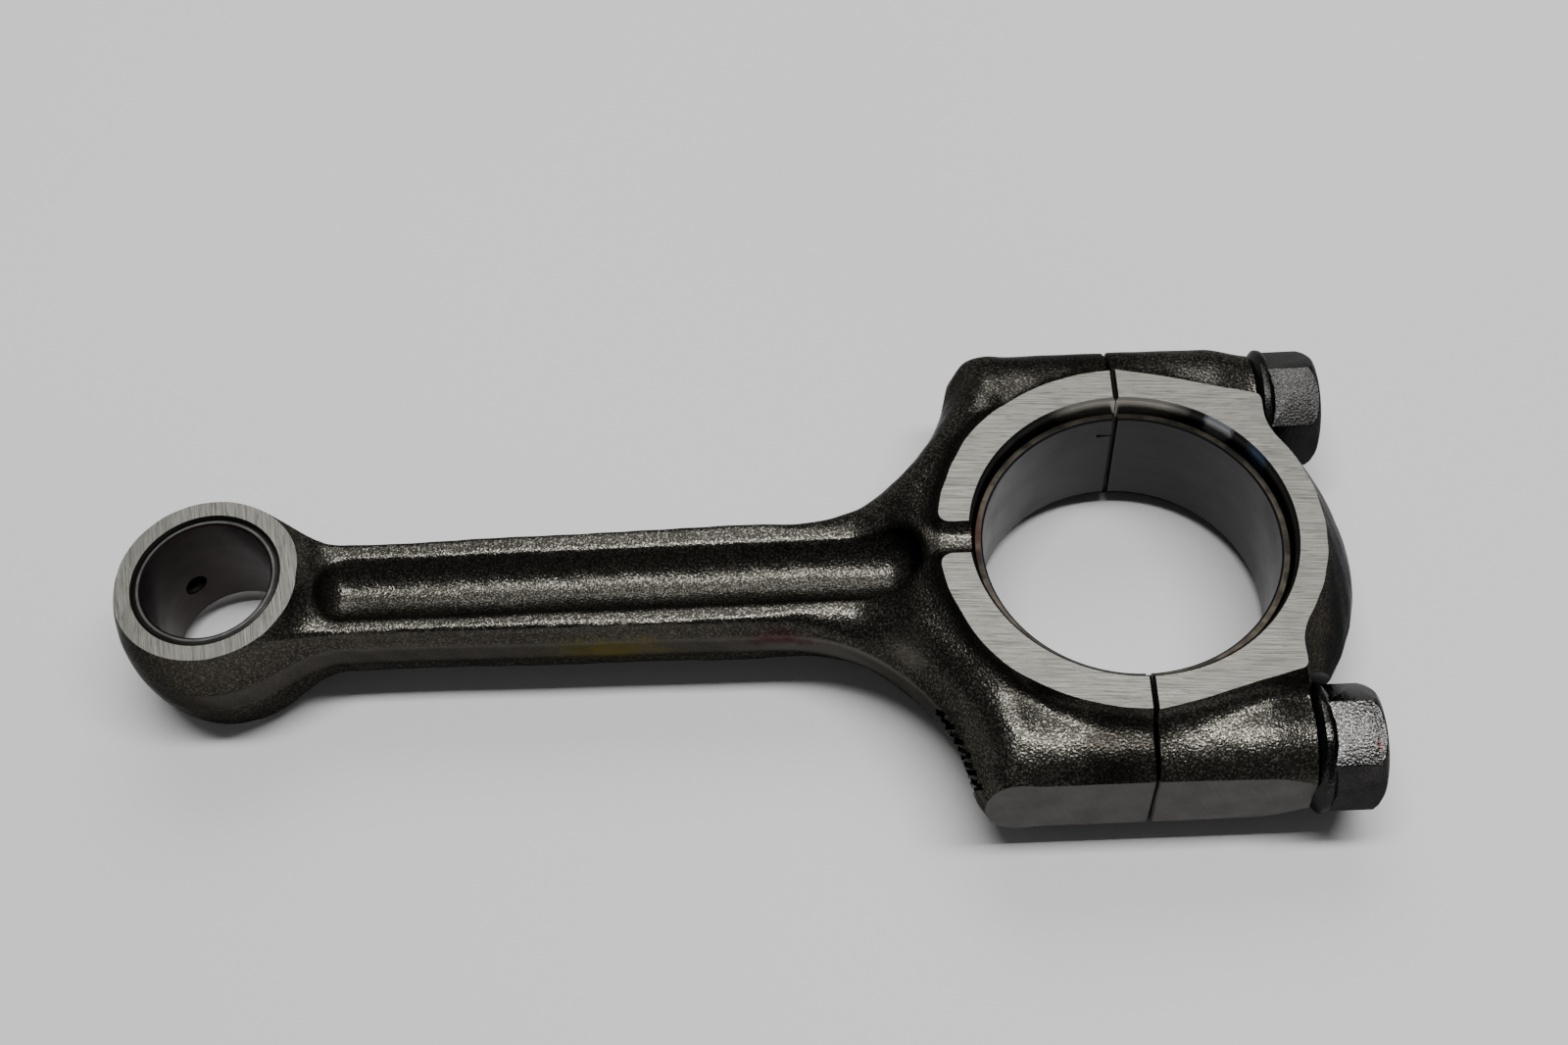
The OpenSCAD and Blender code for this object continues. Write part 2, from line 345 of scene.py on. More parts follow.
def new_piece(name, points, faces):
    """A mesh object from points in millimetres."""
    mesh = bpy.data.meshes.new(name)
    mesh.from_pydata((np.asarray(points, float) * MM).tolist(), [], faces)
    mesh.update()
    piece = bpy.data.objects.new(name, mesh)
    bpy.context.scene.collection.objects.link(piece)
    return piece


def lathe(name, profile, segments=SEGMENTS, closed=False, arc=(0.0, 360.0)):
    """A profile of (radius, z) points turned about Z. A closed profile makes a ring."""
    full = abs(arc[1] - arc[0]) >= 360
    turns = segments if full else segments + 1
    angles = np.radians(np.linspace(arc[0], arc[1], segments + 1))[:turns]
    count = len(profile)
    points = [
        (r * math.cos(a), r * math.sin(a), z) for a in angles for r, z in profile
    ]
    faces = []
    for i in range(segments):
        a, b = i * count, ((i + 1) % turns) * count
        for j in range(count if closed else count - 1):
            k = (j + 1) % count
            faces.append((a + j, b + j, b + k, a + k))
    if not closed:
        faces.append([i * count for i in range(turns)][::-1])
        faces.append([i * count + count - 1 for i in range(turns)])
    elif not full:
        faces.append(list(range(count))[::-1])
        faces.append([(turns - 1) * count + j for j in range(count)])
    piece = new_piece(name, points, faces)
    outward_normals(piece)
    return piece


def outward_normals(piece):
    """Turns every face of a closed mesh outwards."""
    work = bmesh.new()
    work.from_mesh(piece.data)
    bmesh.ops.recalc_face_normals(work, faces=work.faces)
    work.to_mesh(piece.data)
    work.free()


def block(name, low, high, turn=None, centre=(0, 0, 0)):
    """A box between two corners, turned about a point by a rotation matrix."""
    points = [
        (x, y, z) for x in (low[0], high[0]) for y in (low[1], high[1])
        for z in (low[2], high[2])
    ]
    if turn is not None:
        points = [Vector(centre) + turn @ (Vector(p) - Vector(centre)) for p in points]
    faces = [(0, 1, 3, 2), (4, 6, 7, 5), (0, 4, 5, 1), (2, 3, 7, 6), (0, 2, 6, 4),
             (1, 5, 7, 3)]
    piece = new_piece(name, points, faces)
    outward_normals(piece)
    return piece


def place(piece, matrix):
    """Moves a piece's mesh by a matrix in millimetres."""
    shift = matrix.copy()
    shift.translation *= MM
    piece.data.transform(shift)
    return piece


ALONG_X = Matrix.Rotation(math.radians(90), 4, "Y")


def along_x(piece, y):
    """Lays a piece that was turned about Z along +X instead, at a distance y."""
    return place(piece, Matrix.Translation((0, y, 0)) @ ALONG_X)


def combine(piece, tool, look=0, operation="DIFFERENCE"):
    """Cuts, joins or intersects with a tool, whose faces take the material slot look."""
    tool.data.materials.clear()
    for material in piece.data.materials:
        tool.data.materials.append(material)
    for face in tool.data.polygons:
        face.material_index = look
    modifier = piece.modifiers.new("combine", "BOOLEAN")
    modifier.operation, modifier.solver, modifier.object = operation, "MANIFOLD", tool
    depsgraph = bpy.context.evaluated_depsgraph_get()
    mesh = bpy.data.meshes.new_from_object(piece.evaluated_get(depsgraph))
    piece.modifiers.clear()
    old, piece.data = piece.data, mesh
    mesh.name = piece.name
    bpy.data.meshes.remove(old)
    bpy.data.meshes.remove(tool.data)


def smooth(piece, degrees=32):
    """Smooth shading with creases wherever faces meet at more than an angle."""
    piece.data.shade_smooth()
    piece.data.set_sharp_from_angle(angle=math.radians(degrees))


def bore_tool(name, r, half):
    """A cutter for a straight bore along Z with a chamfer at each mouth."""
    wide = r + BORE_CHAMFER + 1.0
    return lathe(name, [
        (0, -half - 1), (wide, -half - 1), (r, BORE_CHAMFER - half),
        (r, half - BORE_CHAMFER), (wide, half + 1), (0, half + 1)], BORE_SEGMENTS)


# ---------------------------------------------------------------- materials


class Look:
    """A procedural material, built up from a few kinds of node."""

    def __init__(self, name):
        self.material = bpy.data.materials.new(name)
        self.material.use_nodes = True
        self.tree = self.material.node_tree
        self.shader = self.tree.nodes["Principled BSDF"]
        places = self.tree.nodes.new("ShaderNodeTexCoord").outputs
        self.coords, self.normals = places["Object"], places["Normal"]

    def set(self, **values):
        """Uniform values, straight on the shader's own sockets."""
        for key, value in values.items():
            self.shader.inputs[key.replace("_", " ")].default_value = value

    def feed(self, socket, source):
        """Links a node's output to one of the shader's sockets."""
        self.tree.links.new(source, self.shader.inputs[socket])

    def node(self, kind, inputs=None, **settings):
        """A new node, with its inputs linked or set and its own settings."""
        made = self.tree.nodes.new("ShaderNode" + kind)
        for key, value in settings.items():
            setattr(made, key, value)
        for key, value in (inputs or {}).items():
            if isinstance(value, bpy.types.NodeSocket):
                self.tree.links.new(value, made.inputs[key])
            else:
                made.inputs[key].default_value = value
        return made

    def noise(self, scale, detail, rough, at=None):
        """Soft noise from 0 to 1, over the object's coordinates or stretched ones."""
        return self.node("TexNoise", {
            "Vector": at or self.coords, "Scale": scale, "Detail": detail,
            "Roughness": rough}).outputs["Fac"]

    def cells(self, scale):
        """Distance to the middle of the nearest cell."""
        return self.node("TexVoronoi", {
            "Vector": self.coords, "Scale": scale}).outputs["Distance"]

    def stretch(self, scale, turn=(0, 0, 0)):
        """Coordinates turned by degrees and then scaled on each axis."""
        turned = self.node("VectorRotate", {
            "Vector": self.coords,
            "Rotation": [math.radians(a) for a in turn]}, rotation_type="EULER_XYZ")
        return self.node("VectorMath", {0: turned.outputs[0], 1: scale},
                         operation="MULTIPLY").outputs[0]

    def calc(self, operation, a, b=0.0, clamp=False):
        """One step of arithmetic, clamped to 0..1 if asked."""
        return self.node("Math", {0: a, 1: b}, operation=operation,
                         use_clamp=clamp).outputs[0]

    def span(self, value, low, high, to_low=0.0, to_high=1.0):
        """Maps low..high to to_low..to_high and clamps it."""
        return self.node("MapRange", {
            "Value": value, "From Min": low, "From Max": high, "To Min": to_low,
            "To Max": to_high}).outputs[0]

    def split(self, vector=None):
        """The X, Y and Z of a vector, or else of the object's coordinates."""
        return self.node("SeparateXYZ", {0: vector or self.coords}).outputs

    def blend(self, share, a, b):
        """Colour a where share is 0 and b where it is 1."""
        made = self.node("Mix", data_type="RGBA")
        for key, value in (("Factor", share), ("A", a), ("B", b)):
            socket = next(s for s in made.inputs if s.name == key
                          and (key == "Factor") == (s.type == "VALUE")
                          and s.enabled)
            if isinstance(value, bpy.types.NodeSocket):
                self.tree.links.new(value, socket)
            else:
                socket.default_value = (*value, 1.0)
        return next(s for s in made.outputs if s.enabled)

    def bump(self, height, strength, depth, below=None):
        """A normal from a height, depth mm deep, over the bump below it."""
        inputs = {"Height": height, "Strength": strength, "Distance": depth * MM}
        if below is not None:
            inputs["Normal"] = below
        return self.node("Bump", inputs).outputs[0]

    def patch(self, centre, reach, soft, ragged=0.0, scale=600.0):
        """1 within an ellipsoid round centre (mm), fading over soft, with a ragged rim."""
        shift = self.node("VectorMath", {
            0: self.coords, 1: [c * MM for c in centre]}, operation="SUBTRACT")
        scaled = self.node("VectorMath", {
            0: shift.outputs[0], 1: [1 / (r * MM) for r in reach]},
            operation="MULTIPLY")
        size = self.node("VectorMath", {0: scaled.outputs[0]}, operation="LENGTH")
        edge = size.outputs["Value"]
        if ragged:
            wave = self.calc("SUBTRACT", self.noise(scale, 4.0, 0.65), 0.5)
            edge = self.calc("ADD", edge, self.calc("MULTIPLY", wave, ragged))
        return self.span(edge, 1.0, 1.0 - soft)


# Colours of the forgings' skin, and of the painted shade and highlight laid on it
SKIN_DARK = (0.026, 0.024, 0.02)
SKIN_PALE = (0.043, 0.04, 0.033)
SKIN_LEVEL = (0.034, 0.0325, 0.027)
FLARE_PAINTED_SHADE = (0.011, 0.0105, 0.009)
TROUGH_PAINTED_SHADE = (0.017, 0.016, 0.013)
GRAIN_PALE = (0.11, 0.105, 0.09)
FLECK = (0.24, 0.23, 0.2)
PIT = (0.006, 0.0055, 0.005)
TRIMMED_BAND = (0.062, 0.059, 0.053)
TRIMMED_FLARE = (0.08, 0.077, 0.071)
SEAM_PAINTED_SHADE = (0.003, 0.003, 0.003)
BOSS_PAINTED_SHADE = (0.012, 0.0105, 0.0085)
NECK_PAINTED_SHADE = (0.0125, 0.0115, 0.0095)
CROWN_PAINTED_SHADE = (0.008, 0.0075, 0.007)
FLARE_PAINTED_HIGHLIGHT = (0.17, 0.16, 0.13)
YELLOW_PAINT = (0.1, 0.085, 0.014)
RED_PAINT = (0.05, 0.006, 0.007)


def forged_look():
    """Shot-blasted dark forging: fine pitted grain with a brown-olive cast of old oil,
    bright flecks heaped on its upper and lower sides as partly painted glints, and painted
    shade on the flare, on the trough floors and along the joint."""
    look = Look("forged_steel")
    tone = look.noise(70, 4.0, 0.6)
    fine = look.noise(3000, 1.5, 0.6)
    flecks = look.noise(3600, 1.0, 0.5)
    pits = look.cells(3000)
    mottle = look.noise(420, 5.0, 0.6)
    axes = look.split()
    height = look.calc("ABSOLUTE", axes["Z"])
    # Where the skin is: on the trimmed band, at the joint, level, on the flare, in a trough
    trimmed = look.span(height, (FLASH_HALF + 0.3) * MM, (FLASH_HALF - 0.1) * MM)
    joint_shade = look.span(look.calc("ABSOLUTE", axes["X"]), 0.34 * MM, 0.24 * MM)
    level = look.span(look.calc("ABSOLUTE", look.split(look.normals)["Z"]), 0.45, 0.93)
    flare = look.calc("MULTIPLY", look.span(axes["X"], -56 * MM, -45 * MM),
                      look.span(axes["X"], -18 * MM, -24 * MM))
    # Painted shade on the trough floors: level faces that lie low in the troughs
    deep = look.calc("MULTIPLY", level, look.span(height, 4.8 * MM, 4.0 * MM, 0.0, 0.55))
    # Its ground colour in each of those places, with painted shade over the flare
    colour = look.blend(look.span(tone, 0.35, 0.65), SKIN_DARK, SKIN_PALE)
    colour = look.blend(look.calc("MULTIPLY", flare, 0.65), colour, FLARE_PAINTED_SHADE)
    colour = look.blend(level, colour, SKIN_LEVEL)
    colour = look.blend(deep, colour, TROUGH_PAINTED_SHADE)
    # Its grain: pale specks, bright flecks and dark pits. The flecks lie far more thickly
    # on faces that look up or down, partly as painted glints of the overhead light
    colour = look.blend(look.span(fine, 0.5, 0.7, 0.0, 0.7), colour, GRAIN_PALE)
    bright = look.calc("MULTIPLY", look.span(flecks, 0.55, 0.63),
                       look.calc("ADD", look.calc("MULTIPLY", level, 0.7), 0.12))
    # The painted shade on the trough floors also thins the flecks there
    bright = look.calc("MULTIPLY", bright, look.calc("SUBTRACT", 1.0, deep))
    colour = look.blend(bright, colour, FLECK)
    colour = look.blend(look.span(pits, 0.34, 0.1, 0.0, 0.9), colour, PIT)
    # The trimmed band along the side, and painted shade along the joint line
    colour = look.blend(look.calc("MULTIPLY", trimmed, 0.7), colour, TRIMMED_BAND)
    strip = look.calc("MULTIPLY", look.calc("MULTIPLY", trimmed, flare),
                      look.calc("SUBTRACT", 1.0, level))
    colour = look.blend(look.calc("MULTIPLY", strip, 0.85), colour, TRIMMED_FLARE)
    colour = look.blend(joint_shade, colour, SEAM_PAINTED_SHADE)
    grain = look.calc("ADD", flecks, look.calc("MULTIPLY", pits, 0.6))
    grain = look.calc("MULTIPLY", grain, look.span(trimmed, 0, 1, 1.0, 0.25))
    normal = look.bump(mottle, 0.15, 0.1)
    normal = look.bump(grain, 1.0, 0.048, normal)
    look.feed("Base Color", marks_and_painted_light(look, colour))
    look.feed("Roughness", look.span(mottle, 0.3, 0.7, 0.24, 0.33))
    look.feed("Normal", normal)
    look.set(Metallic=0.92, Specular_Tint=(0.28, 0.28, 0.28, 1))
    return look.material


def marks_and_painted_light(look, colour):
    """Painted shade on the bosses, round the big end, on the neck and on the crown, a
    painted highlight on the flare, and smears of yellow and red paint on the shank."""
    # Painted shade over the near and far bolt bosses
    for x, y, reach, share in ((-4.5, -27, 8.5, 0.9), (-6, 27, 17, 0.65)):
        boss_shade = look.patch((x, y, 6), (reach, 9, 8), 0.7, 0.9, 300)
        colour = look.blend(look.calc("MULTIPLY", boss_shade, share), colour, BOSS_PAINTED_SHADE)
    # Painted shade round the big end's ring, on the shank's side of it, and on the neck
    ring = look.calc("SUBTRACT", look.patch((0, 0, 9), (28.6, 28.6, 12), 0.05, 0.06, 300),
                     look.patch((0, 0, 9), (24.9, 24.9, 12), 0.02), clamp=True)
    ring = look.calc("MULTIPLY", ring, look.span(look.split()["X"], -8 * MM, -16 * MM))
    neck = look.patch((-30.5, -0.5, 9.5), (5.5, 10.5, 4.8), 0.5, 0.5, 300)
    # Painted shade over the cap's crown
    crown = look.patch((CROWN_R, 0, 0), (11, 24, 14), 0.3, 0.5, 300)
    # A painted highlight on the top of the near flare
    rubbed = look.patch((-31, -14, 7.5), (5.2, 4.4, 4), 0.8, 0.5, 400)
    yellow = look.patch((-68.5, -7.6, -0.2), (10.5, 3.0, 3.6), 0.8, 1.9, 700)
    red = look.patch((-46, -9.0, 1.6), (6, 3.4, 2.3), 0.8, 1.6, 700)
    for patch, share, tint in ((ring, 0.85, NECK_PAINTED_SHADE), (neck, 0.8, NECK_PAINTED_SHADE),
                               (crown, 0.85, CROWN_PAINTED_SHADE), (rubbed, 0.55, FLARE_PAINTED_HIGHLIGHT),
                               (yellow, 0.55, YELLOW_PAINT), (red, 0.65, RED_PAINT)):
        colour = look.blend(look.calc("MULTIPLY", patch, share), colour, tint)
    return colour


def shade(colour, share):
    """A colour made darker or lighter."""
    return tuple(share * c for c in colour)


def ground_look(name, turn, base):
    """A ground face: light steel with fine scratches, turned by degrees about Z."""
    look = Look(name)
    lines = look.noise(1.0, 3.0, 0.65, look.stretch((150, 6500, 6500), (0, 0, turn)))
    marks = look.noise(1.0, 2.0, 0.5, look.stretch((420, 3600, 3600), (0, 0, turn)))
    blotch = look.noise(170, 4.0, 0.6)
    colour = look.blend(look.span(lines, 0.36, 0.62), shade(base, 0.55), shade(base, 1.2))
    colour = look.blend(look.span(blotch, 0.5, 0.72, 0.0, 0.35), colour, shade(base, 0.55))
    colour = look.blend(look.span(marks, 0.58, 0.7, 0.0, 0.6), colour, shade(base, 0.3))
    look.feed("Base Color", colour)
    look.feed("Roughness", look.span(lines, 0.3, 0.7, 0.5, 0.34))
    normal = look.bump(lines, 0.5, 0.05)
    look.feed("Normal", look.bump(marks, 0.3, 0.05, normal))
    look.set(Metallic=0.88)
    return look.material


def flat_look():
    """The milled flats on the bosses: smoother and browner than the ground faces."""
    look = Look("milled_flat")
    sweep = look.noise(1.0, 3.0, 0.6, look.stretch((2600, 120, 260), (0, 22, 0)))
    stain = look.noise(240, 4.0, 0.65)
    colour = look.blend(look.span(sweep, 0.3, 0.7), (0.019, 0.016, 0.013),
                        (0.029, 0.0245, 0.0205))
    colour = look.blend(look.span(stain, 0.5, 0.75, 0.0, 0.6), colour,
                        (0.02, 0.017, 0.014))
    look.feed("Base Color", colour)
    look.feed("Roughness", look.span(stain, 0.3, 0.7, 0.34, 0.46))
    look.feed("Normal", look.bump(sweep, 0.2, 0.05))
    look.set(Metallic=0.85)
    return look.material


def bored_look(name, colour_low, colour_high, rubbed_lip=False):
    """A bored wall with turning lines round it, and perhaps the far lip that the crank
    has rubbed bright and blue."""
    look = Look(name)
    rings = look.noise(1.0, 3.0, 0.6, look.stretch((60, 60, 7000)))
    blotch = look.noise(190, 4.0, 0.6)
    colour = look.blend(look.span(rings, 0.3, 0.7), colour_low, colour_high)
    colour = look.blend(look.span(blotch, 0.5, 0.75, 0.0, 0.5), colour,
                        shade(colour_low, 0.5))
    if rubbed_lip:
        rubbed = look.patch((0.5, 21.5, 11), (11.5, 5.5, 4), 0.35, 0.25, 300)
        colour = look.blend(rubbed, colour, (0.45, 0.43, 0.38))
        bare = look.patch((12.9, 16.0, 10), (2.5, 2.3, 3), 0.3, 1.0, 600)
        colour = look.blend(look.calc("MULTIPLY", bare, 0.85), colour,
                            (0.5, 0.53, 0.56))
        blue = look.patch((17.3, 10.9, 10), (1.8, 2.6, 3), 0.5, 1.3, 600)
        colour = look.blend(look.calc("MULTIPLY", blue, 0.8), colour,
                            (0.07, 0.13, 0.22))
    look.feed("Base Color", colour)
    look.feed("Roughness", look.span(rings, 0.3, 0.7, 0.42, 0.3))
    look.feed("Normal", look.bump(rings, 0.25, 0.03))
    look.set(Metallic=0.9)
    return look.material


def lining_look():
    """The shells' running surface: dull dark grey, polished along the way it runs."""
    look = Look("shell_lining")
    rings = look.noise(1.0, 3.0, 0.55, look.stretch((40, 40, 3200)))
    rubbed = look.noise(120, 3.0, 0.6)
    colour = look.blend(look.span(rings, 0.3, 0.7), (0.014, 0.014, 0.0145),
                        (0.021, 0.021, 0.022))
    colour = look.blend(look.span(rubbed, 0.45, 0.7, 0.0, 0.4), colour,
                        (0.013, 0.0125, 0.013))
    look.feed("Base Color", colour)
    look.feed("Roughness", look.span(rubbed, 0.35, 0.7, 0.3, 0.42))
    look.feed("Normal", look.bump(rings, 0.15, 0.02))
    look.set(Metallic=0.75)
    return look.material


def oiled_steel_look(name, low, high, stain, amount):
    """Strip steel under a film of old oil, for the backs of the shells and bush, with a
    trace of rust on the rod shell's rim."""
    look = Look(name)
    film = look.noise(420, 4.0, 0.62)
    rings = look.noise(1.0, 2.0, 0.5, look.stretch((300, 300, 5200)))
    colour = look.blend(look.span(rings, 0.3, 0.7), low, high)
    colour = look.blend(look.span(film, 0.44, 0.62, 0.0, amount), colour, stain)
    rust = look.patch((-HOUSING_R, 3, SHELL_HALF), (2.5, 5.5, 2), 0.5, 0.9, 500)
    colour = look.blend(look.calc("MULTIPLY", rust, 0.65), colour, (0.03, 0.006, 0.004))
    look.feed("Base Color", colour)
    look.feed("Roughness", look.span(film, 0.3, 0.7, 0.3, 0.45))
    look.feed("Normal", look.bump(film, 0.2, 0.04))
    look.set(Metallic=0.9)
    return look.material


def bronze_look():
    """The bush's bronze: reddish brown, darkened by oil."""
    look = Look("bush_bronze")
    film = look.noise(260, 4.0, 0.6)
    rings = look.noise(1.0, 3.0, 0.55, look.stretch((60, 60, 5200)))
    colour = look.blend(look.span(rings, 0.3, 0.7), (0.016, 0.0105, 0.0095),
                        (0.026, 0.0175, 0.0155))
    colour = look.blend(look.span(film, 0.45, 0.7, 0.0, 0.6), colour,
                        (0.011, 0.0075, 0.007))
    look.feed("Base Color", colour)
    look.feed("Roughness", look.span(film, 0.3, 0.7, 0.28, 0.4))
    look.feed("Normal", look.bump(rings, 0.2, 0.02))
    look.set(Metallic=0.85)
    return look.material


def bolt_look():
    """Blackened, pitted bolt steel, with a painted highlight on the upward-facing flats,
    brightest on the near bolt.
    """
    look = Look("bolt_steel")
    pits = look.cells(3000)
    fine = look.noise(5200, 2.0, 0.6)
    patina = look.noise(260, 4.0, 0.6)
    colour = look.blend(look.span(patina, 0.35, 0.65), (0.014, 0.014, 0.0145),
                        (0.026, 0.0255, 0.025))
    # Painted highlight: faces that look upward are lightened in fine specks, and on the
    # near bolt lightened further
    near = look.span(look.split()["Y"], 5 * MM, -5 * MM)
    upper = look.span(look.split(look.normals)["Z"], 0.3, 0.7, 0.1, 1.0)
    mottle = look.calc("MULTIPLY", look.span(fine, 0.5, 0.62), upper)
    colour = look.blend(mottle, colour, (0.055, 0.053, 0.048))
    bright = look.calc("MULTIPLY", look.calc("MULTIPLY", mottle, near), 0.6)
    colour = look.blend(bright, colour, (0.13, 0.127, 0.12))
    colour = look.blend(look.span(pits, 0.24, 0.05, 0.0, 0.8), colour,
                        (0.005, 0.005, 0.005))
    rust = look.patch((27.0, -BOLT_Y - 3.2, 6.6), (0.5, 1.1, 0.9), 0.5, 0.7, 700)
    colour = look.blend(look.calc("MULTIPLY", rust, 0.6), colour, (0.025, 0.004, 0.003))
    look.feed("Base Color", colour)
    dull = look.calc("MULTIPLY", look.calc("SUBTRACT", 1.0, near), 0.17)
    look.feed("Roughness", look.calc("ADD", look.span(patina, 0.3, 0.7, 0.15, 0.23), dull))
    grain = look.calc("ADD", look.calc("MULTIPLY", fine, 0.8), pits)
    look.feed("Normal", look.bump(grain, 0.8, 0.035))
    look.set(Metallic=0.95, Specular_Tint=(0.5, 0.5, 0.5, 1))
    return look.material


def paper_look():
    """Pale matt paper with a faint tooth."""
    look = Look("pale_paper")
    tooth = look.noise(900, 3.0, 0.6)
    cast = look.noise(5, 2.0, 0.5)
    colour = look.blend(look.span(cast, 0.3, 0.7), (0.66, 0.645, 0.645),
                        (0.7, 0.685, 0.685))
    look.feed("Base Color", colour)
    look.feed("Normal", look.bump(tooth, 0.12, 0.1))
    look.set(Roughness=0.75)
    return look.material


FORGED = forged_look()
GROUND = ground_look("ground_big_end", 4, (0.2, 0.195, 0.173))
GROUND_EYE = ground_look("ground_small_end", 78, (0.23, 0.226, 0.2))
MILLED = flat_look()
BORED = bored_look("bored_housing", (0.024, 0.023, 0.022), (0.042, 0.04, 0.038),
                   rubbed_lip=True)
# Painted shade: a darker bored steel for the joint grooves, the eye bore's chamfers, the
# holes, the tang notches, the stamped strokes and the shells' rim bevels
PAINTED_SHADE_LOOK = bored_look("bored_painted_shade", (0.012, 0.012, 0.011), (0.025, 0.024, 0.022))
LINING = lining_look()
SHELL_STEEL = oiled_steel_look("shell_steel", (0.03, 0.026, 0.02), (0.085, 0.073, 0.052),
                               (0.014, 0.011, 0.009), 0.85)
BUSH_STEEL = oiled_steel_look("bush_steel", (0.09, 0.088, 0.085), (0.16, 0.157, 0.15),
                              (0.035, 0.033, 0.03), 0.5)
BRONZE = bronze_look()
BOLT_STEEL = bolt_look()

# The forgings' material slots, and the numbers by which their cuts name them; the last is
# the painted shade for grooves, holes, notches and strokes
FORGING_LOOKS = [FORGED, GROUND, GROUND_EYE, MILLED, BORED, PAINTED_SHADE_LOOK]
FACE, EYE_FACE, FLAT, BORE, PAINTED_SHADE = range(1, 6)

# ---------------------------------------------------------------- pieces


def dress(piece, body, node):
    """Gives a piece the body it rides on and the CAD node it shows."""
    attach(piece, body)
    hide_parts(node)


def joint_groove_tools():
    """The chamfers on the joint's straight edges, along the faces and the flats."""
    turn_y = Matrix.Rotation(math.radians(45), 3, "Y")
    turn_z = Matrix.Rotation(math.radians(45), 3, "Z")
    half = JOINT_CHAMFER / math.sqrt(2) + 0.02
    for face in (-1, 1):
        centre = (0, 0, face * BIG_HALF)
        yield block("groove", (-half, -40, centre[2] - half),
                    (half, 40, centre[2] + half), turn_y, centre)
        centre = (0, face * BOSS_HALF_WIDTH, 0)
        yield block("groove", (-half, centre[1] - half, -20),
                    (half, centre[1] + half, 20), turn_z, centre)


def machine_big_end(piece, sign):
    """The cuts that the rod and cap share: joint, faces, flats, housing and grooves."""
    x = sorted((sign * JOINT_GAP, -sign * CUT_XY))
    combine(piece, block("joint", (x[0], -CUT_XY, -CUT_Z), (x[1], CUT_XY, CUT_Z)), BORE)
    x = sorted((-sign * 5, sign * 50))
    for face in (-1, 1):
        z = sorted((face * BIG_HALF, face * CUT_Z))
        combine(piece, block("face", (x[0], -CUT_XY, z[0]), (x[1], CUT_XY, z[1])), FACE)
        y = sorted((face * BOSS_HALF_WIDTH, face * CUT_XY))
        combine(piece, block("flat", (x[0], y[0], -CUT_Z), (x[1], y[1], CUT_Z)), FLAT)
    # The joint grooves take the painted shade
    for tool in joint_groove_tools():
        combine(piece, tool, PAINTED_SHADE)
    combine(piece, bore_tool("housing", HOUSING_R, BIG_HALF), BORE)


def stamped_strokes(piece):
    """A row of plain matching strokes stamped on the shoulder's side at the works."""
    for i in range(STROKES):
        angle = math.radians(STROKES_FROM_DEG + STROKES_SWEEP_DEG * i / (STROKES - 1))
        centre = Vector((FLARE_X - FLARE_R + FLARE_R * math.cos(angle),
                         -(SHANK_HALF_W + 0.6 + FLARE_R + FLARE_R * math.sin(angle)),
                         0.2))
        lean = (24, 30, 18, 27)[i % 4]
        turn = (Matrix.Rotation(angle, 3, "Z")
                @ Matrix.Rotation(math.radians(lean), 3, "X"))
        low = centre + Vector((-1.0, -0.36, -3.2 + 0.3 * (i % 3)))
        high = centre + Vector((0.6, 0.36, 2.9 - 0.4 * (i % 2)))
        # Each stroke takes the painted shade
        combine(piece, block("stroke", low, high, turn, centre), PAINTED_SHADE)


def forging_skin(name, field, low_x, high_x):
    """A forging's closed skin before it is machined, with the looks of its cuts."""
    axes = grid(low_x, high_x)
    piece = surface_mesh(name, field(*np.ix_(*axes)), axes)
    for material in FORGING_LOOKS:
        piece.data.materials.append(material)
    return piece


def cut_tang_notch(piece, sign, hand):
    """The notch in the housing that the shell's tang sits in."""
    x = sorted((-sign, sign * (TANG_LENGTH + NOTCH_GAP)))
    y = sorted((hand * (HOUSING_R - 0.6), hand * (HOUSING_R + 1.2)))
    notch = block("notch", (x[0], y[0], TANG_Z[0] - NOTCH_GAP),
                  (x[1], y[1], TANG_Z[1] + NOTCH_GAP))
    # The notch takes the painted shade
    combine(piece, notch, PAINTED_SHADE)


def rod_forging():
    """The rod: its forged skin, machined, drilled and stamped."""
    piece = forging_skin("rod_forging_skin", rod_field, -135, 2)
    machine_big_end(piece, -1)
    for face in (-1, 1):
        z = sorted((face * EYE_HALF, face * CUT_Z))
        low, high = (EYE_X - 30, -30, z[0]), (EYE_X + 22, 30, z[1])
        combine(piece, block("eye", low, high), EYE_FACE)
    # The eye bore, the bolt holes and the oil hole take the painted shade
    eye = bore_tool("eye_bore", BUSH_R, EYE_HALF)
    combine(piece, place(eye, Matrix.Translation((EYE_X, 0, 0))), PAINTED_SHADE)
    for hand in (-1, 1):
        hole = lathe("hole", [(0, -1), (BOLT_HOLE_R, -1), (BOLT_HOLE_R, BOLT_HOLE_DEPTH),
                              (0, BOLT_HOLE_DEPTH + 2.6)])
        turned = Matrix.Rotation(math.radians(-90), 4, "Y")
        place(hole, Matrix.Translation((0, hand * BOLT_Y, 0)) @ turned)
        combine(piece, hole, PAINTED_SHADE)
    combine(piece, oil_drill(), PAINTED_SHADE)
    cut_tang_notch(piece, -1, 1)
    stamped_strokes(piece)
    smooth(piece)
    dress(piece, "rod", "rod_forging")


def oil_drill():
    """The drill for the small end's oil hole, from the outside into the bore."""
    drill = lathe("drill", [(0, 2), (OIL_HOLE_R, 2), (OIL_HOLE_R, 18), (0, 18)], 48)
    lay = Matrix.Rotation(OIL_HOLE_ANGLE, 4, "Z") @ ALONG_X
    return place(drill, Matrix.Translation((EYE_X, 0, OIL_HOLE_Z)) @ lay)


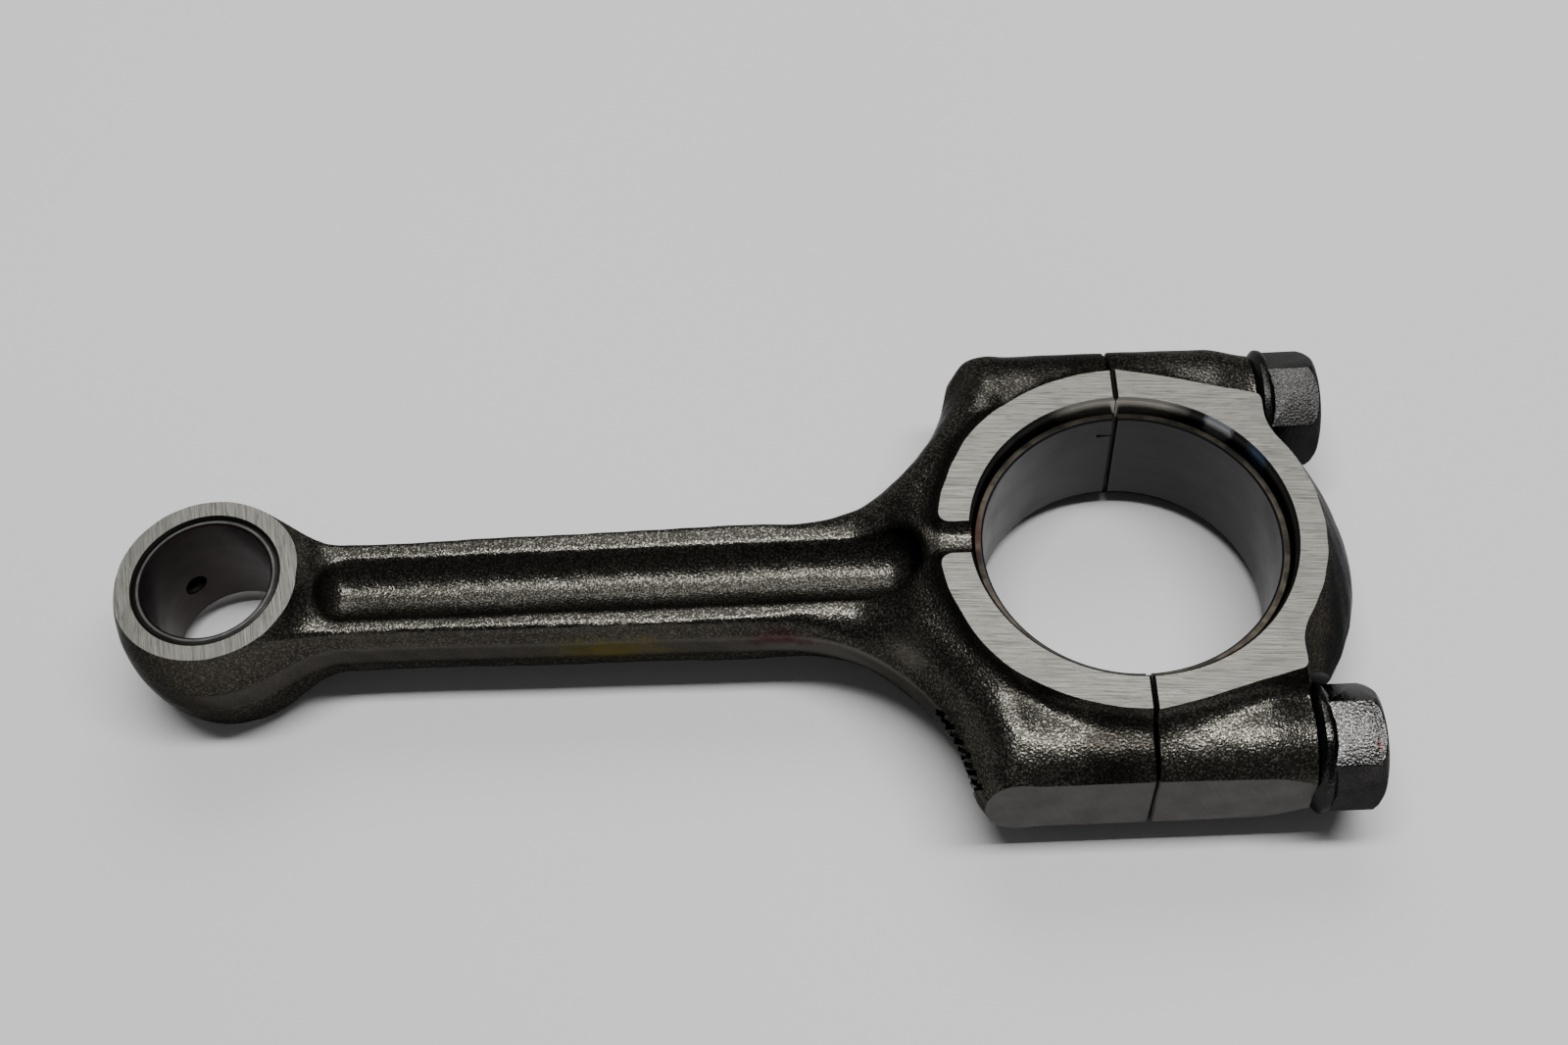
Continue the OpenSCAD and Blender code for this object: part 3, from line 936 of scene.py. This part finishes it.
def bearing_cap():
    """The cap: its forged skin, machined, drilled and spot-faced for the bolts."""
    piece = forging_skin("bearing_cap_skin", cap_field, -2, 32)
    machine_big_end(piece, 1)
    for hand in (-1, 1):
        hole = lathe("hole", [(0, -2), (BOLT_HOLE_R, -2), (BOLT_HOLE_R, 30), (0, 30)])
        # The bolt holes take the painted shade
        combine(piece, along_x(hole, hand * BOLT_Y), PAINTED_SHADE)
        seat = lathe("seat", [(0, SEAT_X), (SPOTFACE_R - 0.5, SEAT_X),
                              (SPOTFACE_R, SEAT_X + 0.5), (SPOTFACE_R, 40), (0, 40)])
        combine(piece, along_x(seat, hand * BOLT_Y), FLAT)
    cut_tang_notch(piece, 1, -1)
    smooth(piece)
    dress(piece, "cap", "bearing_cap")


def half_arc(sign):
    """Start and end angle of a half shell, a hair short of the joint at each end."""
    start = -90 if sign > 0 else 90
    return start + SHELL_SLACK_DEG, start + 180 - SHELL_SLACK_DEG


def shell(sign, hand, body, back_node, lining_node):
    """One bearing shell: its steel back with the tang, and its lining."""
    edge, outer, half = SHELL_EDGE, HOUSING_R - 0.01, SHELL_HALF
    back = lathe(back_node + "_strip", [
        (LINING_R, -half), (outer - edge, -half), (outer, -half + edge),
        (outer, half - edge), (outer - edge, half), (LINING_R, half)],
        SHELL_SEGMENTS, True, half_arc(sign))
    for material in (SHELL_STEEL, PAINTED_SHADE_LOOK):
        back.data.materials.append(material)
    # Sides 1 and 3 of the profile's six are the bevels of the rims, which take the painted
    # shade.
    for i, face in enumerate(back.data.polygons):
        face.material_index = int(i % 6 in (1, 3))
    x = sorted((sign * 0.15, sign * TANG_LENGTH))
    y = sorted((hand * (HOUSING_R - 0.8), hand * (HOUSING_R + 1.0)))
    combine(back, block("tang", (x[0], y[0], TANG_Z[0]), (x[1], y[1], TANG_Z[1])),
            operation="UNION")
    x = sorted((0, sign * POCKET_LENGTH))
    y = sorted((hand * (CRANK_R - 1), hand * (CRANK_R + POCKET_DEPTH)))
    pocket = [(x[0], y[0], TANG_Z[0] + 0.6), (x[1], y[1], TANG_Z[1] - 0.6)]
    combine(back, block("pocket", *pocket))
    smooth(back)
    dress(back, body, back_node)
    chamfer = LINING_CHAMFER
    layer = lathe(lining_node + "_layer", [
        (CRANK_R, -half + chamfer), (CRANK_R + chamfer, -half), (LINING_R, -half),
        (LINING_R, half), (CRANK_R + chamfer, half), (CRANK_R, half - chamfer)],
        SHELL_SEGMENTS, True, half_arc(sign))
    layer.data.materials.append(LINING)
    combine(layer, block("pocket", *pocket))
    smooth(layer)
    dress(layer, body, lining_node)


def bush():
    """The small-end bush: steel back with a bevelled rim, and the bronze layer."""
    to_eye = Matrix.Translation((EYE_X, 0, 0))
    half, bevel, inner = BUSH_HALF, BUSH_BEVEL, BRONZE_CHAMFER
    back = lathe("bush_strip", [
        (BUSH_LINING_R, -half), (BUSH_R - bevel, -half), (BUSH_R, -half + bevel),
        (BUSH_R, half - bevel), (BUSH_R - bevel, half), (BUSH_LINING_R, half)],
        BUSH_SEGMENTS, True)
    back.data.materials.append(BUSH_STEEL)
    combine(place(back, to_eye), oil_drill())
    smooth(back)
    dress(back, "rod", "small_end_bush_back")
    layer = lathe("bush_layer", [
        (PIN_R, -half + inner), (PIN_R + inner, -half), (BUSH_LINING_R, -half),
        (BUSH_LINING_R, half), (PIN_R + inner, half), (PIN_R, half - inner)],
        BUSH_SEGMENTS, True)
    layer.data.materials.append(BRONZE)
    combine(place(layer, to_eye), oil_drill())
    smooth(layer)
    dress(layer, "rod", "small_end_bush_lining")


def threaded_shank(low, high, r, thread_end):
    """The bolt's shank along +Z: a helical thread from the tip, then a plain stem."""
    segments, rings = SHANK_SEGMENTS, int((high - low) * SHANK_RINGS_PER_MM)
    points = []
    for i in range(rings + 1):
        s = low + (high - low) * i / rings
        tip = max(0.0, 1.0 - (s - low) / 1.1)
        run_out = ease(thread_end - s)
        for j in range(segments):
            turn = s / THREAD_PITCH - j / segments
            tooth = abs(2 * (turn - math.floor(turn)) - 1)
            groove = THREAD_DEPTH * float(run_out) * np.clip(tooth * 1.25 - 0.12, 0, 1)
            radius = min(r - groove, r - 0.9 * tip)
            angle = 2 * math.pi * j / segments
            points.append((radius * math.cos(angle), radius * math.sin(angle), s))
    faces = []
    for i in range(rings):
        for j in range(segments):
            k = (j + 1) % segments
            a, b = i * segments, (i + 1) * segments
            faces.append((a + j, a + k, b + k, b + j))
    faces.append(list(range(segments))[::-1])
    faces.append([rings * segments + j for j in range(segments)])
    return new_piece("shank", points, faces)


def cap_bolt(hand, body, node, turn):
    """A cap bolt: forged hexagon over a collar, and the shank below the head."""
    collar_top = SEAT_X + COLLAR_HEIGHT
    end_x = BOLT_HIGH[0]
    corner = HEX_FLATS / 2 / math.cos(math.radians(30))
    hexagon = lathe("hexagon", [
        (0, collar_top - 0.6), (corner, collar_top - 0.6), (corner, end_x),
        (0, end_x)], 6)
    place(hexagon, Matrix.Rotation(math.radians(turn), 4, "Z"))
    crown = lathe("crown", [
        (0, collar_top - 1), (COLLAR_R + 1, collar_top - 1),
        (COLLAR_R + 1, end_x - 2.35), (corner + 0.1, end_x - 1.75),
        (corner - 0.45, end_x - 0.9), (corner - 1.2, end_x - 0.3),
        (corner - 2.1, end_x), (corner - 3.2, end_x - 0.05),
        (corner - 3.9, end_x - 0.5), (0, end_x - 0.65)], BOLT_SEGMENTS)
    combine(hexagon, crown, operation="INTERSECT")
    bevel = hexagon.modifiers.new("bevel", "BEVEL")
    bevel.width, bevel.segments, bevel.limit_method = 0.3 * MM, 3, "ANGLE"
    bevel.angle_limit = math.radians(35)
    depsgraph = bpy.context.evaluated_depsgraph_get()
    hexagon.data = bpy.data.meshes.new_from_object(hexagon.evaluated_get(depsgraph))
    hexagon.modifiers.clear()
    piece = lathe(node + "_forged", [
        (0, SEAT_X), (COLLAR_R - 1.4, SEAT_X), (COLLAR_R - 0.35, SEAT_X + 0.75),
        (COLLAR_R - 0.05, SEAT_X + 1.0), (COLLAR_R, SEAT_X + 1.35),
        (COLLAR_R - 0.12, SEAT_X + 1.8), (COLLAR_R - 0.45, SEAT_X + 2.15),
        (corner - 0.75, collar_top - 0.05), (corner - 0.9, collar_top + 0.15),
        (0, collar_top + 0.15)], BOLT_SEGMENTS)
    shank = threaded_shank(BOLT_TIP_X, SEAT_X + 0.4, BOLT_HOLE_R - 0.06, -0.5)
    piece.data.materials.append(BOLT_STEEL)
    combine(piece, hexagon, operation="UNION")
    combine(piece, shank, operation="UNION")
    along_x(piece, hand * BOLT_Y)
    smooth(piece, 28)
    dress(piece, body, node)


rod_forging()
bearing_cap()
shell(-1, 1, "rod", "rod_shell_back", "rod_shell_lining")
shell(1, -1, "cap", "cap_shell_back", "cap_shell_lining")
bush()
cap_bolt(1, "far_bolt", "far_cap_bolt", 52.5)
cap_bolt(-1, "near_bolt", "near_cap_bolt", 42.5)

# ---------------------------------------------------------------- stage


FLOOR_REACH = 3000
SKY_COLOUR = (0.95, 0.97, 1.0, 1)
SKY_STRENGTH = 0.11

# The camera's place in metres from the centre of the small end's upper face, its turn
# in degrees, and its focal length for a 36 mm wide sensor
CAMERA_OFFSET = (0.08436, -0.13352, 0.21664)
CAMERA_TURN_DEG = (32.23, 2.954, -1.024)
CAMERA_LENS = 45.76
SENSOR_WIDTH = 36


def stage():
    """A pale sheet under the rod, lit by a long lamp overhead and a window behind."""
    size, z = FLOOR_REACH, CAP_LOW[2]
    floor = new_piece("floor", [(-size, -size, z), (size, -size, z), (size, size, z),
                                (-size, size, z)], [(0, 1, 2, 3)])
    floor.data.materials.append(paper_look())
    add_light("lamp", (0.12, 0.0, 1.0), towards=(0.12, 0.0, 0), width=1.0, height=0.14,
              watts=13.3)
    add_light("window", (-0.02, 0.62, 0.78), towards=(-0.03, 0, 0), width=0.7, height=0.5,
              watts=3.7)
    world = bpy.data.worlds.new("studio")
    bpy.context.scene.world = world
    world.use_nodes = True
    background = world.node_tree.nodes["Background"]
    background.inputs["Color"].default_value = SKY_COLOUR
    background.inputs["Strength"].default_value = SKY_STRENGTH


def add_light(name, at, towards, width, height, watts):
    """A rectangular light, placed and aimed in metres."""
    data = bpy.data.lights.new(name, "AREA")
    data.shape, data.size, data.size_y, data.energy = "RECTANGLE", width, height, watts
    light = bpy.data.objects.new(name, data)
    bpy.context.scene.collection.objects.link(light)
    light.location = at
    aim = Vector(towards) - Vector(at)
    light.rotation_euler = aim.to_track_quat("-Z", "Y").to_euler()


def add_camera():
    """The camera of the main view."""
    data = bpy.data.cameras.new("camera")
    data.sensor_width, data.lens = SENSOR_WIDTH, CAMERA_LENS
    data.clip_start, data.clip_end = 0.01, 10
    camera = bpy.data.objects.new("camera", data)
    bpy.context.scene.collection.objects.link(camera)
    offset = CAMERA_OFFSET
    camera.location = (EYE_X * MM + offset[0], offset[1], BIG_HALF * MM + offset[2])
    camera.rotation_euler = [math.radians(a) for a in CAMERA_TURN_DEG]
    bpy.context.scene.camera = camera


stage()
add_camera()
